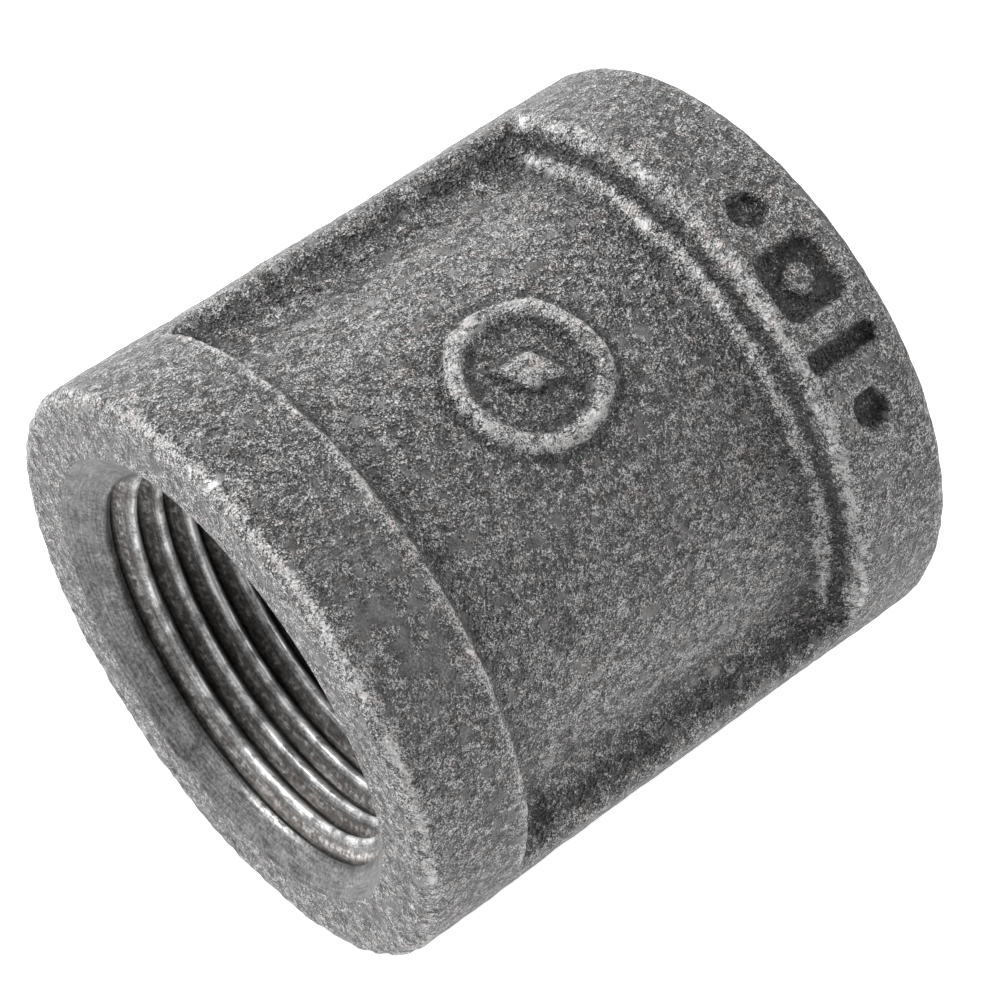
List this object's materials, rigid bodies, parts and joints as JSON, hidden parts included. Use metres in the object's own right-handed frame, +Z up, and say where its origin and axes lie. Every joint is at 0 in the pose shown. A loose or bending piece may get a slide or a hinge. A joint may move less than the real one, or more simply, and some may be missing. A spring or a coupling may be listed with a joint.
{
  "type": "threaded pipe coupling",
  "caption": "Straight banded pipe coupling in black malleable iron, internally threaded at both ends to join two pipes in line.",
  "frame": {"origin": "bottom centre of the coupling's bounding box as it lies on its side, under the middle of the bore", "axes": "+X along the bore from the front face to the back face, +Z up"},
  "size_m": [0.0386, 0.037, 0.037],
  "materials": {
    "malleable_iron": "black as-cast skin, dull and grainy, bright where edges are worn, with cut threads"
  },
  "bodies": {
    "root": {"coupling_body": "malleable_iron"}
  },
  "joints": []
}
